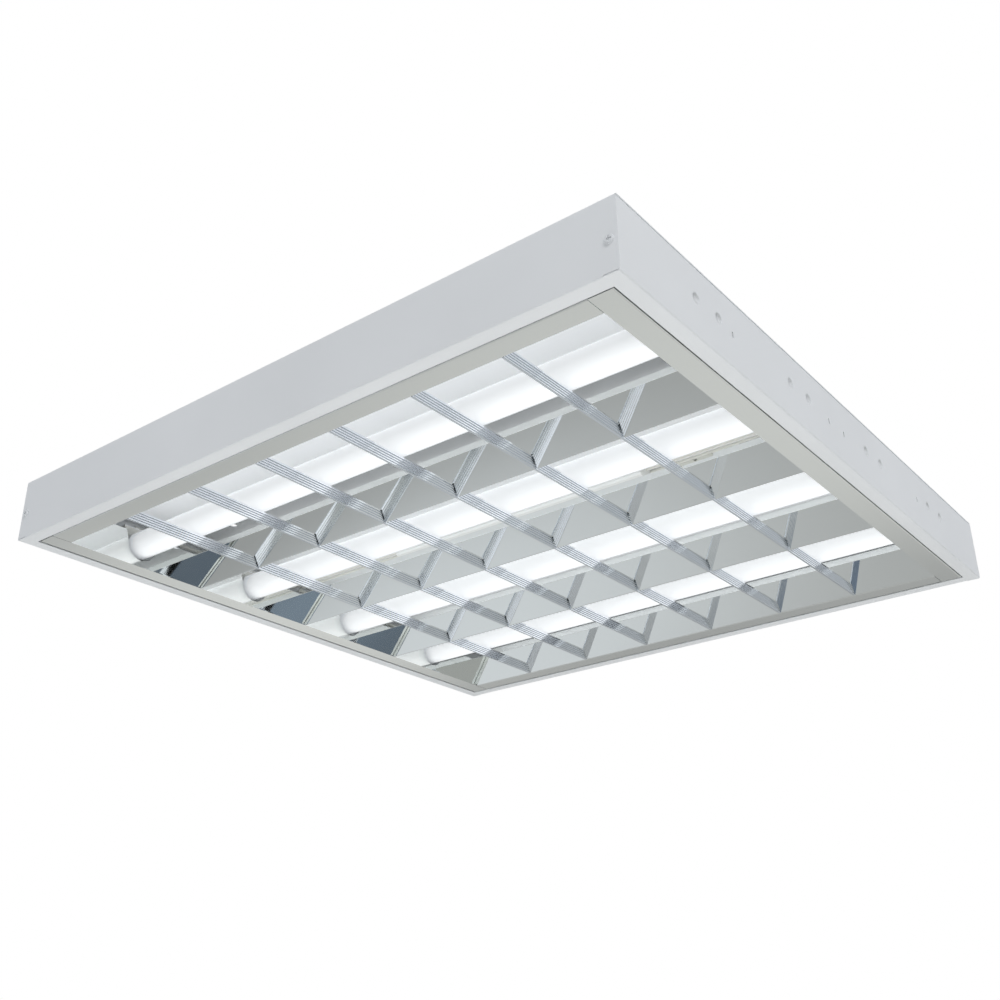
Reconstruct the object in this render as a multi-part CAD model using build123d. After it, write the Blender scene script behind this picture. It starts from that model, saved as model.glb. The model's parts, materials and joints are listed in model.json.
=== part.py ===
from build123d import *
import math
import os

os.makedirs("parts", exist_ok=True)

# Recessed troffer light: a folded steel tray, four tubular lamps between turning lampholders, and a
# mirror louvre that swings down on two hinge clips. Millimetres, +Z up. The origin is the middle of
# the rim's lower face. X runs along the lamps, "near" is the +X end and "far" the -X end.

# ---- driving dimensions -------------------------------------------------------------------------
# How far a cutting shape runs past the face that it opens
past = 1.0

# Body
body_side = 620.0
body_height = 56.5
sheet = 0.8
bend = 0.5
lip_width = 11.8
flange_depth = 15.0
corner_relief = 0.7
seam = 0.1

# Corner screws, one each side of every upright corner seam
screw_inset = 6.0
screw_height = 24.5
screw_head_radius = 3.2
screw_head_height = 1.6
screw_head_chamfer = 0.5
screw_shank_radius = 1.75
screw_shank_length = 7.0
screw_clearance = 0.1

# Lamps: T8 tube, G13 caps
lamp_count = 4
lamp_height = 24.5
lamp_radius = 13.0
glass_radius = 12.75
glass_wall = 0.9
glass_setback = 1.5
cap_length = 7.5
cap_chamfer = 0.8
cap_clearance = 0.02
pin_radius = 1.2
pin_length = 7.1
pin_chamfer = 0.4
pin_spacing = 12.7

# Lampholders
holder_gap = 0.3
holder_depth = 13.0
holder_radius = 13.6
rotor_radius = 9.4
rotor_depth = 9.0
rotor_clearance = 0.05
pin_slot_clearance = 0.15
bracket_sheet = 1.0
bracket_half_width = 21.0
bracket_foot = 14.0

# Pressed dimples that carry the lampholder brackets, and small slots in the end walls
dimple_offset = 14.85
dimple_height = 30.2
dimple_radius = 4.0
dimple_floor_radius = 2.6
dimple_depth = 0.75
dimple_hole_clearance = 0.4
wall_slot_places = (-170.0, -18.0, 9.0, 161.0)
wall_slot_width = 2.0
wall_slot_length = 5.0
wall_slot_height = 27.0

# Louvre
louvre_gap = 1.4
louvre_base = 0.3
louvre_sheet = 0.8
louvre_bend = 0.2
border_width = 18.6
border_upstand = 9.0
butt_gap = 0.4
side_bay_extra = 7.2
reflector_sheet = 0.5
reflector_half_width = 16.2
reflector_flange = 6.0
reflector_return = 4.0
end_plate_setback = 5.0
end_plate_foot = 6.0
end_plate_overrun = 1.8
lamp_notch_radius = 15.6
lamp_notch_flare = 3.9
blade_count = 6
blade_height = 10.6
blade_foot = 0.8
blade_crest = 2.2
rib_count = 5
rib_depth = 0.3
rib_rise = 0.33
blade_clearance = 0.15

# Louvre hinges, on the +Y side, and spring catches, on the -Y side
hinge_places = (-200.0, 200.0)
hinge_width = 20.0
hinge_ear = 1.5
hinge_pin_radius = 0.9
hinge_running_gap = 0.06
knuckle_radius = 1.75
knuckle_bite = 0.1
ear_radius = 1.4
ear_side_gap = 0.5
ear_arm_low = 7.2
ear_arm_high = 12.0
hinge_plate = 1.2
hinge_plate_top = 38.0
catch_places = (-150.0, 150.0)
catch_width = 20.0
catch_sheet = 0.5
catch_gap = 0.3
catch_top = 34.0
catch_knee = 14.0
catch_nose = 7.5
catch_nose_low = 5.0
catch_tip = 2.0
catch_tip_back = 3.6

# Gear over the middle reflector
gear_clearance = 3.3
ballast_length = 280.0
ballast_width = 30.0
ballast_height = 18.0
ballast_chamfer = 1.5
ballast_ear = 10.0
ballast_ear_sheet = 1.5
gear_screw_head_radius = 3.5
gear_screw_head_height = 2.0
terminal_gap = 30.0
terminal_y = -27.0
terminal_length = 30.0
terminal_width = 16.0
terminal_height = 14.0
terminal_ways = 3
terminal_hole_radius = 1.6
terminal_hole_depth = 6.0
terminal_well_depth = 2.0
grommet_gap = 35.0
grommet_bore = 5.0
grommet_neck = 9.0
grommet_neck_clearance = 0.1
grommet_flange = 12.0
grommet_flange_height = 1.5
earth_gap = 16.0
earth_y = -12.0
earth_lug_radius = 4.5
earth_lug_sheet = 0.8

# Wiring
loom_room = 12.2
loom_radius = 1.8
loom_rest_gap = 0.1
loom_offset = 4.0
loom_setback = 5.0
loom_bend = 8.0
drop_radius = 1.3
drop_clearance = 0.1
drop_depth = 4.0
wire_radius = 1.1
wire_spacing = 3.4
wire_lead = 8.0
wire_bend = 4.0

# Fixing holes and knock-outs in the tray's top
fixing_inset = 70.0
fixing_radius = 3.0
knockout_inset = 75.0
knockout_radius = 10.5
knockout_groove = 0.35
knockout_groove_width = 0.8

# ---- places worked out from them ----------------------------------------------------------------
half = body_side / 2
inner = half - sheet
ceiling = body_height - sheet
opening_half = half - lip_width
louvre_half = opening_half - louvre_gap
clear_half = louvre_half - border_width
strip_top = louvre_base + louvre_sheet
reflector_top = ceiling - ballast_height - gear_clearance
slant_top = reflector_top - reflector_flange
slant_slope = reflector_half_width / (slant_top - louvre_base)
lamp_pitch = 2 * (clear_half - side_bay_extra) / lamp_count
lamp_places = [(n - (lamp_count - 1) / 2) * lamp_pitch for n in range(lamp_count)]
reflector_places = [(n - (lamp_count - 2) / 2) * lamp_pitch for n in range(lamp_count - 1)]
cell = 2 * clear_half / (blade_count + 1)
blade_places = [(n - (blade_count - 1) / 2) * cell for n in range(blade_count)]
blade_top = louvre_base + blade_height
end_plate_face = clear_half + end_plate_setback
holder_back = inner - bracket_sheet
holder_front = holder_back - holder_depth
holder_top = ceiling - loom_room
lamp_face = holder_front - holder_gap
rotor_bore = rotor_radius + rotor_clearance
pin_reach = lamp_face + pin_length
pin_slot_half = pin_radius + pin_slot_clearance
pin_slot_end = pin_reach + holder_gap
hinge_y = louvre_half - louvre_sheet - knuckle_radius + knuckle_bite
hinge_z = strip_top + knuckle_radius - knuckle_bite
loom_height = holder_top + bracket_sheet + loom_rest_gap + loom_radius
loom_x = holder_front + loom_setback
screw_hole = screw_shank_radius + screw_clearance
terminal_x = ballast_length / 2 + terminal_gap + terminal_length / 2
terminal_end = terminal_x + terminal_length / 2
terminal_pitch = terminal_width / terminal_ways
terminal_hole_z = ceiling - terminal_height / 2
grommet_x = terminal_end + grommet_gap
earth_x = terminal_end + earth_gap
ballast_screw_x = (ballast_length + ballast_ear) / 2
fixing_half_x = half - fixing_inset
fixing_places = [(x, y) for x in (-fixing_half_x, fixing_half_x) for y in (-lamp_pitch, lamp_pitch)]
knockout_places = [(0.0, lamp_pitch), (knockout_inset - half, 0.0)]
gear_screw_places = [(-ballast_screw_x, 0.0), (ballast_screw_x, 0.0), (earth_x, earth_y)]


# ---- small helpers ------------------------------------------------------------------------------
def save(shape, node):
    """Writes one node, which may hold several separate solids."""
    export_step(shape, f"parts/{node}.step")


def group(shapes):
    """Separate solids that share one node."""
    return Compound(children=[piece for shape in shapes for piece in shape.solids()])


def block(x, y, z):
    """A box from two x, two y and two z values, in either order."""
    spans = [sorted(span) for span in (x, y, z)]
    box = Box(*[high - low for low, high in spans])
    return Pos(*[(low + high) / 2 for low, high in spans]) * box


def rod_x(radius, start, end, y, z):
    """A round bar along X."""
    return Pos((start + end) / 2, y, z) * Rot(0, 90, 0) * Cylinder(radius, abs(end - start))


def rod_y(radius, start, end, x, z):
    """A round bar along Y."""
    return Pos(x, (start + end) / 2, z) * Rot(90, 0, 0) * Cylinder(radius, abs(end - start))


def rod_z(radius, start, end, x, y):
    """A round bar along Z."""
    return Pos(x, y, (start + end) / 2) * Cylinder(radius, abs(end - start))


def along_x(face, start, end):
    """A section drawn in Y and Z, carried from x = start to x = end."""
    return extrude(Plane.YZ.offset(start) * face, amount=end - start)


def along_y(face, start, end):
    """A section drawn in X and Z, carried from y = start to y = end."""
    return extrude(Plane.XZ.offset(-start) * face, amount=start - end)


def both_ends(shape):
    """The near-end shape and its mirror image at the far end."""
    return shape, mirror(shape, about=Plane.YZ)


def headings(points):
    """The direction of each run of a path, in radians."""
    return [math.atan2(b[1] - a[1], b[0] - a[0]) for a, b in zip(points, points[1:])]


def beside(points, distance):
    """The path shifted to its left by a distance, with mitred corners."""
    runs = headings(points)
    shifted = []
    for (u, v), before, after in zip(points, [runs[0]] + runs, runs + [runs[-1]]):
        middle = (before + after) / 2
        reach = distance / math.cos((after - before) / 2)
        shifted.append((u - reach * math.sin(middle), v + reach * math.cos(middle)))
    return shifted


def folded(points, thickness, inside=bend):
    """The section of a folded sheet: the path is one face, and the sheet lies to its left."""
    runs = headings(points)
    left_turns = [math.sin(after - before) > 0 for before, after in zip(runs, runs[1:])]
    path_radii = [inside + thickness if left else inside for left in left_turns]
    back_radii = [inside if left else inside + thickness for left in left_turns]
    back = beside(points, thickness)
    face_line = FilletPolyline(*points, radius=path_radii)
    back_line = FilletPolyline(*back, radius=back_radii)
    start_cap = Line(points[0], back[0])
    end_cap = Line(points[-1], back[-1])
    return make_face([*face_line.edges(), *back_line.edges(), start_cap, end_cap])


def screw(head_radius, head_height, shank_length):
    """A low-headed screw, its head's seat at z = 0 and its shank going down."""
    head = rod_z(head_radius, 0, head_height, 0, 0)
    head = chamfer(head.edges().sort_by(Axis.Z)[-1], screw_head_chamfer)
    return head + rod_z(screw_shank_radius, -shank_length, 0, 0, 0)


def wire(points, radius, bend_radius):
    """A round wire along straight runs joined by tangent arcs."""
    path = FilletPolyline(*points, radius=bend_radius)
    start = Plane(origin=path @ 0, z_dir=path % 0)
    return sweep(start * Circle(radius), path=path)


# ---- steel body ---------------------------------------------------------------------------------
def tray_pan():
    """Top and the two long walls, folded from one sheet, with the long lips."""
    path = [(opening_half, 0), (half, 0), (half, body_height)]
    path += [(-y, z) for y, z in reversed(path)]
    pan = along_x(folded(path, sheet), -half, half)
    long_y = (-half - past, half + past)
    for end in (-1, 1):
        pan -= block((end * inner, end * (half + past)), long_y, (-past, ceiling))
        pan -= block((end * opening_half, end * (half + past)), long_y, (-past, sheet + bend))
        for side in (-1, 1):
            x = end * (half - screw_inset)
            pan -= rod_y(screw_hole, side * (inner - past), side * (half + past), x, screw_height)
    through = (ceiling - past, body_height + past)
    for x, y in fixing_places:
        pan -= rod_z(fixing_radius, *through, x, y)
    for x, y in knockout_places:
        groove = (body_height - knockout_groove, body_height + past)
        ring = rod_z(knockout_radius, *groove, x, y)
        pan -= ring - rod_z(knockout_radius - knockout_groove_width, *groove, x, y)
    pan -= rod_z(grommet_neck, *through, grommet_x, terminal_y)
    for x, y in gear_screw_places:
        pan -= rod_z(screw_hole, *through, x, y)
    return pan


def end_wall():
    """The near end wall, with its lip, its top flange and the two corner flanges."""
    path = [(opening_half, 0), (half, 0), (half, ceiling), (half - flange_depth, ceiling)]
    wall = along_y(folded(path, sheet), -half, half)
    flange_x = (half - flange_depth, inner)
    for side in (-1, 1):
        corner_y = (side * (inner - sheet - seam), side * (half + past))
        wall -= block((flange_x[0] - past, inner), corner_y, (sheet + bend, body_height))
        flange_z = (sheet + corner_relief, ceiling - sheet - corner_relief)
        wall += block(flange_x, (side * (inner - sheet), side * inner), flange_z)
        drill = (side * (inner - sheet - past), side * (half + past))
        wall -= rod_y(screw_hole, *drill, half - screw_inset, screw_height)
    dimple = Rot(0, -90, 0) * Cone(dimple_radius, dimple_floor_radius, dimple_depth)
    for y in lamp_places:
        for offset in (-dimple_offset, dimple_offset):
            wall += Pos(inner - dimple_depth / 2, y + offset, dimple_height) * dimple
            wall -= Pos(half - dimple_depth / 2, y + offset, dimple_height) * dimple
    slot = extrude(Rot(0, 90, 0) * SlotOverall(wall_slot_length, wall_slot_width), amount=sheet + 2 * past)
    for y in wall_slot_places:
        wall -= Pos(inner - past, y, wall_slot_height) * slot
    return wall


def corner_screws():
    """Four screws through the long walls into the end walls' corner flanges."""
    screws = []
    for side in (-1, 1):
        turned = Rot(-side * 90, 0, 0) * screw(screw_head_radius, screw_head_height, screw_shank_length)
        for end in (-1, 1):
            screws.append(Pos(end * (half - screw_inset), side * half, screw_height) * turned)
    return group(screws)


# ---- lamps and lampholders ----------------------------------------------------------------------
def lamp_tube(y):
    """The glass tube, open at the ends where the caps close it."""
    reach = lamp_face - glass_setback
    outside = rod_x(glass_radius, -reach, reach, y, lamp_height)
    return outside - rod_x(glass_radius - glass_wall, -reach - past, reach + past, y, lamp_height)


def lamp_cap(y):
    """The near cap: a thin cup turned round the tube's end, with its two pins."""
    mouth = lamp_face - cap_length
    seat = lamp_face - glass_setback
    lining = glass_radius + cap_clearance
    profile = [(seat, 0), (lamp_face, 0), (lamp_face, lamp_radius - cap_chamfer)]
    profile += [(lamp_face - cap_chamfer, lamp_radius), (mouth, lamp_radius), (mouth, lining), (seat, lining)]
    cup = revolve(Plane.XZ * make_face(Polyline(*profile, close=True)), Axis.X)
    cap = Pos(0, y, lamp_height) * cup
    for side in (-1, 1):
        pin = rod_x(pin_radius, seat, pin_reach, y + side * pin_spacing / 2, lamp_height)
        cap += chamfer(pin.edges().sort_by(Axis.X)[-1], pin_chamfer)
    return cap


def lampholder(y):
    """The near lampholder: a moulded body with the rotor's bore and the slot that the pins enter by."""
    rise = holder_top - lamp_height
    outline = Pos(0, rise / 2) * Rectangle(2 * holder_radius, rise) + Circle(holder_radius)
    body = along_x(Pos(y, lamp_height) * outline, holder_front, holder_back)
    bore_end = holder_front + rotor_depth + rotor_clearance
    body -= rod_x(rotor_bore, holder_front - past, bore_end, y, lamp_height)
    slot_y = (y - pin_slot_half, y + pin_slot_half)
    slot_z = (lamp_height - holder_radius - past, lamp_height)
    body -= block((holder_front - past, pin_slot_end), slot_y, slot_z)
    port_z = (holder_top - drop_depth - drop_clearance, holder_top + past)
    return body - rod_z(drop_radius + drop_clearance, *port_z, loom_x, y)


def lamp_rotor(y):
    """The near rotor: a disc that turns with the lamp, with a slot across it for the pins."""
    disc = rod_x(rotor_radius, holder_front, holder_front + rotor_depth, y, lamp_height)
    slot_y = (y - rotor_radius - past, y + rotor_radius + past)
    slot_z = (lamp_height - pin_slot_half, lamp_height + pin_slot_half)
    return disc - block((holder_front - past, pin_slot_end), slot_y, slot_z)


def lampholder_bracket(y):
    """The near bracket: a plate that hangs on two dimples, with a shelf over the lampholder."""
    plate_y = (y - bracket_half_width, y + bracket_half_width)
    bracket = block((holder_back, inner), plate_y, (bracket_foot, holder_top + bracket_sheet))
    shelf_y = (y - holder_radius, y + holder_radius)
    bracket += block((holder_front, inner), shelf_y, (holder_top, holder_top + bracket_sheet))
    hole = dimple_radius + dimple_hole_clearance
    for offset in (-dimple_offset, dimple_offset):
        bracket -= rod_x(hole, holder_back - past, inner + past, y + offset, dimple_height)
    port_z = (holder_top - past, loom_height)
    return bracket - rod_z(drop_radius + 2 * drop_clearance, *port_z, loom_x, y)


# ---- louvre -------------------------------------------------------------------------------------
def end_strip():
    """The near border strip, with its outer upstand."""
    path = [(louvre_half, louvre_base + border_upstand), (louvre_half, louvre_base), (clear_half, louvre_base)]
    section = mirror(folded([(-u, v) for u, v in path], louvre_sheet, inside=louvre_bend), about=Plane.YZ)
    return along_y(section, -louvre_half, louvre_half)


def end_plates():
    """The near end plates, one a bay, notched for the lamp; they butt behind the reflectors' ends."""
    edge = clear_half + end_plate_overrun
    bounds = [-edge] + reflector_places + [edge]
    plate_x = (end_plate_face, end_plate_face + louvre_sheet)
    path = [(end_plate_face + end_plate_foot, strip_top), (end_plate_face, strip_top)]
    path.append((end_plate_face, reflector_top))
    section = mirror(folded([(-u, v) for u, v in path], louvre_sheet, inside=louvre_bend), about=Plane.YZ)
    flare = lamp_notch_radius + lamp_notch_flare
    rise = reflector_top - lamp_height + past
    sides = [(-lamp_notch_radius, 0), (lamp_notch_radius, 0), (flare, rise), (-flare, rise)]
    plates = []
    for y, low, high in zip(lamp_places, bounds, bounds[1:]):
        notch = Pos(y, lamp_height) * (Circle(lamp_notch_radius) + make_face(Polyline(*sides, close=True)))
        plate = along_y(section, low + seam, high - seam)
        plates.append(plate - along_x(notch, plate_x[0] - past, plate_x[1] + past))
    return group(plates)


def side_strip():
    """The +Y border strip, folded up outside and slanted up inside as a half reflector."""
    path = [(louvre_half, louvre_base + border_upstand), (louvre_half, louvre_base)]
    path += [(clear_half, louvre_base), (clear_half - reflector_half_width, slant_top)]
    path += [(clear_half - reflector_half_width, reflector_top)]
    section = folded([(-u, v) for u, v in path], louvre_sheet, inside=louvre_bend)
    strip = mirror(along_x(section, -end_plate_face, end_plate_face), about=Plane.XZ)
    for end in (-1, 1):
        butt_x = (end * (clear_half - butt_gap), end * half)
        strip -= block(butt_x, (0, half), (-past, strip_top + louvre_sheet + seam))
    return strip


def hinge_strip():
    """The +Y side strip, with a knuckle and a window in its upstand at each hinge."""
    strip = side_strip()
    window_half = hinge_width / 2 + ear_side_gap
    window_y = (louvre_half - louvre_sheet - past, louvre_half + past)
    knuckle_half = hinge_width / 2 - hinge_ear - ear_side_gap
    bore = hinge_pin_radius + hinge_running_gap
    for x in hinge_places:
        strip -= block((x - window_half, x + window_half), window_y, (strip_top, ear_arm_high))
        strip += rod_x(knuckle_radius, x - knuckle_half, x + knuckle_half, hinge_y, hinge_z)
        strip -= rod_x(bore, x - window_half, x + window_half, hinge_y, hinge_z)
    return strip


def reflector(y):
    """A V-shaped longitudinal reflector, apex down, slotted where the cross blades pass."""
    side = [(-reflector_half_width + reflector_return, reflector_top), (-reflector_half_width, reflector_top)]
    side += [(-reflector_half_width, slant_top), (0, louvre_base)]
    path = side + [(-u, v) for u, v in reversed(side[:-1])]
    section = Pos(y, 0) * folded(path, reflector_sheet, inside=louvre_bend)
    vee = along_x(section, -end_plate_face, end_plate_face)
    span_y = (y - lamp_pitch / 2, y + lamp_pitch / 2)
    for end in (-1, 1):
        nose_x = (end * (clear_half - seam), end * half)
        vee -= block(nose_x, span_y, (-past, strip_top + seam))
    slot_half = blade_crest / 2 + rib_depth + blade_clearance
    for x in blade_places:
        vee -= block((x - slot_half, x + slot_half), span_y, (-past, blade_top + blade_clearance))
    return vee


def cross_blade(x):
    """A cross blade: a tapering section with stepped ribs on both faces, from side to side."""
    profile = [(blade_foot / 2, louvre_base)]
    step = blade_height / rib_count
    for rib in range(rib_count):
        low = (blade_foot + (blade_crest - blade_foot) * rib / rib_count) / 2
        high = (blade_foot + (blade_crest - blade_foot) * (rib + 1) / rib_count) / 2
        floor = louvre_base + rib * step
        profile += [(low + rib_depth, floor + step * rib_rise), (high, floor + step)]
    outline = profile + [(-u, v) for u, v in reversed(profile)]
    section = Pos(x, 0) * make_face(Polyline(*outline, close=True))
    blade = along_y(section, -clear_half, clear_half)
    foot_y = clear_half - blade_clearance
    low_z, high_z = louvre_base - past, blade_top + past
    for side in (-1, 1):
        wedge = [(foot_y + past * slant_slope, low_z), (foot_y - (blade_height + past) * slant_slope, high_z)]
        wedge += [(half, high_z), (half, low_z)]
        cutter = make_face(Polyline(*[(side * u, v) for u, v in wedge], close=True))
        blade -= along_x(cutter, x - cell / 2, x + cell / 2)
    return blade


def hinge_clips():
    """Two hinge clips on the +Y wall: a plate, two ears that reach over the lip, and the pin."""
    clips = []
    for x in hinge_places:
        low, high = x - hinge_width / 2, x + hinge_width / 2
        clip = block((low, high), (inner - hinge_plate, inner), (ear_arm_low, hinge_plate_top))
        for ear_low in (low, high - hinge_ear):
            ear_x = (ear_low, ear_low + hinge_ear)
            clip += block(ear_x, (hinge_y - ear_radius, hinge_y + ear_radius), (hinge_z, ear_arm_high))
            clip += rod_x(ear_radius, *ear_x, hinge_y, hinge_z)
            clip += block(ear_x, (hinge_y - ear_radius, inner), (ear_arm_low, ear_arm_high))
        clips.append(clip + rod_x(hinge_pin_radius, low, high, hinge_y, hinge_z))
    return group(clips)


def louvre_catches():
    """Two leaf springs on the -Y wall whose noses press on the louvre's upstand."""
    nose = louvre_half + catch_gap + catch_sheet
    path = [(-inner, catch_top), (-inner, catch_knee), (-nose, catch_nose), (-nose, catch_nose_low)]
    path.append((catch_sheet - nose - catch_tip_back, catch_tip))
    section = folded(path, catch_sheet)
    return group([along_x(section, x - catch_width / 2, x + catch_width / 2) for x in catch_places])


# ---- gear and wiring ----------------------------------------------------------------------------
def ballast():
    """The electronic ballast's closed case, with a fixing ear at each end."""
    width = (-ballast_width / 2, ballast_width / 2)
    case = block((-ballast_length / 2, ballast_length / 2), width, (ceiling - ballast_height, ceiling))
    case = chamfer(case.edges().filter_by(Axis.X).group_by(Axis.Z)[0], ballast_chamfer)
    reach = ballast_length / 2 + ballast_ear
    case += block((-reach, reach), width, (ceiling - ballast_ear_sheet, ceiling))
    for x in (-ballast_screw_x, ballast_screw_x):
        case -= rod_z(screw_hole, ceiling - ballast_ear_sheet - past, ceiling + past, x, 0)
    return case


def gear_screw(seat, x, y):
    """A screw driven upwards, its head under a seat and its tip level with the tray's top."""
    driven = Rot(180, 0, 0) * screw(gear_screw_head_radius, gear_screw_head_height, body_height - seat)
    return Pos(x, y, seat) * driven


def terminal_block():
    """The mains terminal block: a moulded block with a wire hole and a clamp well for each pole."""
    x = (terminal_x - terminal_length / 2, terminal_end)
    low = ceiling - terminal_height
    shape = block(x, (terminal_y - terminal_width / 2, terminal_y + terminal_width / 2), (low, ceiling))
    for way in range(terminal_ways):
        y = terminal_y + (way - (terminal_ways - 1) / 2) * terminal_pitch
        shape -= rod_x(terminal_hole_radius, x[1] - terminal_hole_depth, x[1] + past, y, terminal_hole_z)
        shape -= rod_x(terminal_hole_radius, x[0] - past, x[0] + terminal_hole_depth, y, terminal_hole_z)
        shape -= rod_z(terminal_hole_radius, low - past, low + terminal_well_depth, terminal_x, y)
    return shape


def cable_grommet():
    """The rubber grommet in the tray's cable hole."""
    low = ceiling - grommet_flange_height
    high = body_height + grommet_flange_height
    ring = rod_z(grommet_neck - grommet_neck_clearance, low, high, grommet_x, terminal_y)
    ring += rod_z(grommet_flange, low, ceiling, grommet_x, terminal_y)
    ring += rod_z(grommet_flange, body_height, high, grommet_x, terminal_y)
    return ring - rod_z(grommet_bore, low - past, high + past, grommet_x, terminal_y)


def earth_wire():
    """The earth wire, from the terminal block to a ring lug under the earth screw."""
    lug_z = (ceiling - earth_lug_sheet, ceiling)
    lug = rod_z(earth_lug_radius, *lug_z, earth_x, earth_y)
    tail = earth_y - 2 * earth_lug_radius
    lug += block((earth_x - wire_radius, earth_x + wire_radius), (tail, earth_y), lug_z)
    lug -= rod_z(screw_hole, lug_z[0] - past, lug_z[1] + past, earth_x, earth_y)
    start_x = terminal_end - terminal_hole_depth + seam
    start_y = terminal_y + terminal_pitch
    points = [(start_x, start_y, terminal_hole_z), (earth_x, start_y, terminal_hole_z)]
    points.append((earth_x, (tail + earth_y) / 2, lug_z[0]))
    return lug + wire(points, wire_radius, wire_bend)


def mains_wires():
    """Two wires from the terminal block to the ballast."""
    wires = []
    start_x = terminal_x - terminal_length / 2
    end_x = ballast_length / 2
    for way in range(terminal_ways - 1):
        start_y = terminal_y + way * terminal_pitch
        end_y = wire_spacing * (way + 1) - ballast_width / 2 - wire_radius
        places = [(start_x + terminal_hole_depth - seam, start_y), (start_x - wire_lead, start_y)]
        places += [(end_x + wire_lead, end_y), (end_x, end_y)]
        wires.append(wire([(x, y, terminal_hole_z) for x, y in places], wire_radius, wire_bend))
    return group(wires)


def lamp_wires():
    """The near loom: two bundles from the ballast, along the end wall, with a drop to each holder."""
    branches = []
    for side in (-1, 1):
        start_y, outer_y = side * loom_offset, side * max(lamp_places)
        points = [(ballast_length / 2, start_y, loom_height), (loom_x, start_y, loom_height)]
        branch = wire(points + [(loom_x, outer_y, loom_height)], loom_radius, loom_bend)
        for y in lamp_places:
            if y * side > 0:
                branch += rod_z(drop_radius, holder_top - drop_depth, loom_height, loom_x, y)
        branches.append(branch)
    return group(branches)


# ---- build --------------------------------------------------------------------------------------
save(tray_pan(), "tray_pan")
for name, wall in zip(("near", "far"), both_ends(end_wall())):
    save(wall, f"end_wall_{name}")
save(corner_screws(), "corner_screws")

near_brackets = group([lampholder_bracket(y) for y in lamp_places])
for name, brackets in zip(("near", "far"), both_ends(near_brackets)):
    save(brackets, f"lampholder_brackets_{name}")
for number, y in enumerate(lamp_places, start=1):
    save(lamp_tube(y), f"lamp_{number}_tube")
    save(group(both_ends(lamp_cap(y))), f"lamp_{number}_caps")
    for name, holder in zip(("near", "far"), both_ends(lampholder(y))):
        save(holder, f"lampholder_{number}_{name}")
    for name, rotor in zip(("near", "far"), both_ends(lamp_rotor(y))):
        save(rotor, f"rotor_{number}_{name}")

for name, strip in zip(("near", "far"), both_ends(end_strip())):
    save(strip, f"louvre_end_strip_{name}")
for name, plates in zip(("near", "far"), both_ends(end_plates())):
    save(plates, f"louvre_end_plates_{name}")
save(hinge_strip(), "louvre_hinge_strip")
save(mirror(side_strip(), about=Plane.XZ), "louvre_catch_strip")
for number, y in enumerate(reflector_places, start=1):
    save(reflector(y), f"louvre_reflector_{number}")
for number, x in enumerate(blade_places, start=1):
    save(cross_blade(x), f"louvre_blade_{number}")
save(hinge_clips(), "louvre_hinge_clips")
save(louvre_catches(), "louvre_catches")

save(ballast(), "ballast")
ballast_seat = ceiling - ballast_ear_sheet
save(group([gear_screw(ballast_seat, x, y) for x, y in gear_screw_places[:2]]), "ballast_screws")
save(gear_screw(ceiling - earth_lug_sheet, earth_x, earth_y), "earth_screw")
save(terminal_block(), "terminal_block")
save(cable_grommet(), "cable_grommet")
save(earth_wire(), "earth_wire")
save(mains_wires(), "mains_wires")
for name, loom in zip(("near", "far"), both_ends(lamp_wires())):
    save(loom, f"lamp_wires_{name}")
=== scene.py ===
"""A recessed louvre light: its camera, studio, finishes and the finer pieces over the fixed frame.

Every length is in metres in the frame's own axes: X along the lamps, +Y towards the louvre's
hinges, +Z up through the tray's top. "Near" is the +X end and "far" the -X end.
"""

import json
import logging
import math
from dataclasses import dataclass, field
from enum import Enum
from typing import Any, Mapping, Optional, Sequence

import bmesh
import bpy
import numpy as np
from bpy.types import Material, Node, NodeSocket, NodeTree, Object
from mathutils import Matrix, Vector

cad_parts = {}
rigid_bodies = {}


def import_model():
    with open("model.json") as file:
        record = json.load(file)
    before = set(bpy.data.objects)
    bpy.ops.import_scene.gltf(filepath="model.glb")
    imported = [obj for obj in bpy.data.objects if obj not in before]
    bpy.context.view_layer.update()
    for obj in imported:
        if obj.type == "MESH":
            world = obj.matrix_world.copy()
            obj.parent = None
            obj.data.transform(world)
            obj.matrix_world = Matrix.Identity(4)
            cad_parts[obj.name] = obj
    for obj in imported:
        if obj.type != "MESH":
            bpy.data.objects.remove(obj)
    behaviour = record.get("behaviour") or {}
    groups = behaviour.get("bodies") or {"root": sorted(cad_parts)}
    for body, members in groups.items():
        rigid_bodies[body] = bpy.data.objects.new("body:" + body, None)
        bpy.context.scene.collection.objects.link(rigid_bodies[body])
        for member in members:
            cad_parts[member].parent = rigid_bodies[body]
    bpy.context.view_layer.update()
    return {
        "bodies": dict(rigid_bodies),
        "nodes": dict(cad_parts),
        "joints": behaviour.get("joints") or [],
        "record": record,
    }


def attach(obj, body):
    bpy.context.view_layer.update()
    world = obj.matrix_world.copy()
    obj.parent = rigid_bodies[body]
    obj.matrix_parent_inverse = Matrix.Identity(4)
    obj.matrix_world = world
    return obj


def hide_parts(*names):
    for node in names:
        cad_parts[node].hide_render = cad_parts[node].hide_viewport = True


MM = 0.001
LOG = logging.getLogger("louvre_light")
Frame = Mapping[str, Any]
FLOOR_HEIGHT = -1.5
LAMP_PITCH = 135.5 * MM
LAMP_ROWS = tuple(step * LAMP_PITCH for step in (-1.5, -0.5, 0.5, 1.5))
BLADE_BASE = 0.3 * MM
BLADE_HEIGHT = 10.6 * MM
BLADE_RIBS = 5


class Body(Enum):
    """The rigid bodies that new pieces ride on, apart from the lamps, which are numbered."""

    HOUSING = "housing"
    LOUVRE = "louvre"


class End(Enum):
    """The two ends of the light, as the sign of their X."""

    NEAR = 1
    FAR = -1


class Roll(Enum):
    """Which way a sheet ran through the rolling mill, as how a pattern is drawn out along X and Y."""

    ALONG_X = (1.0, 60.0, 60.0)
    ALONG_Y = (60.0, 1.0, 60.0)


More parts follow.
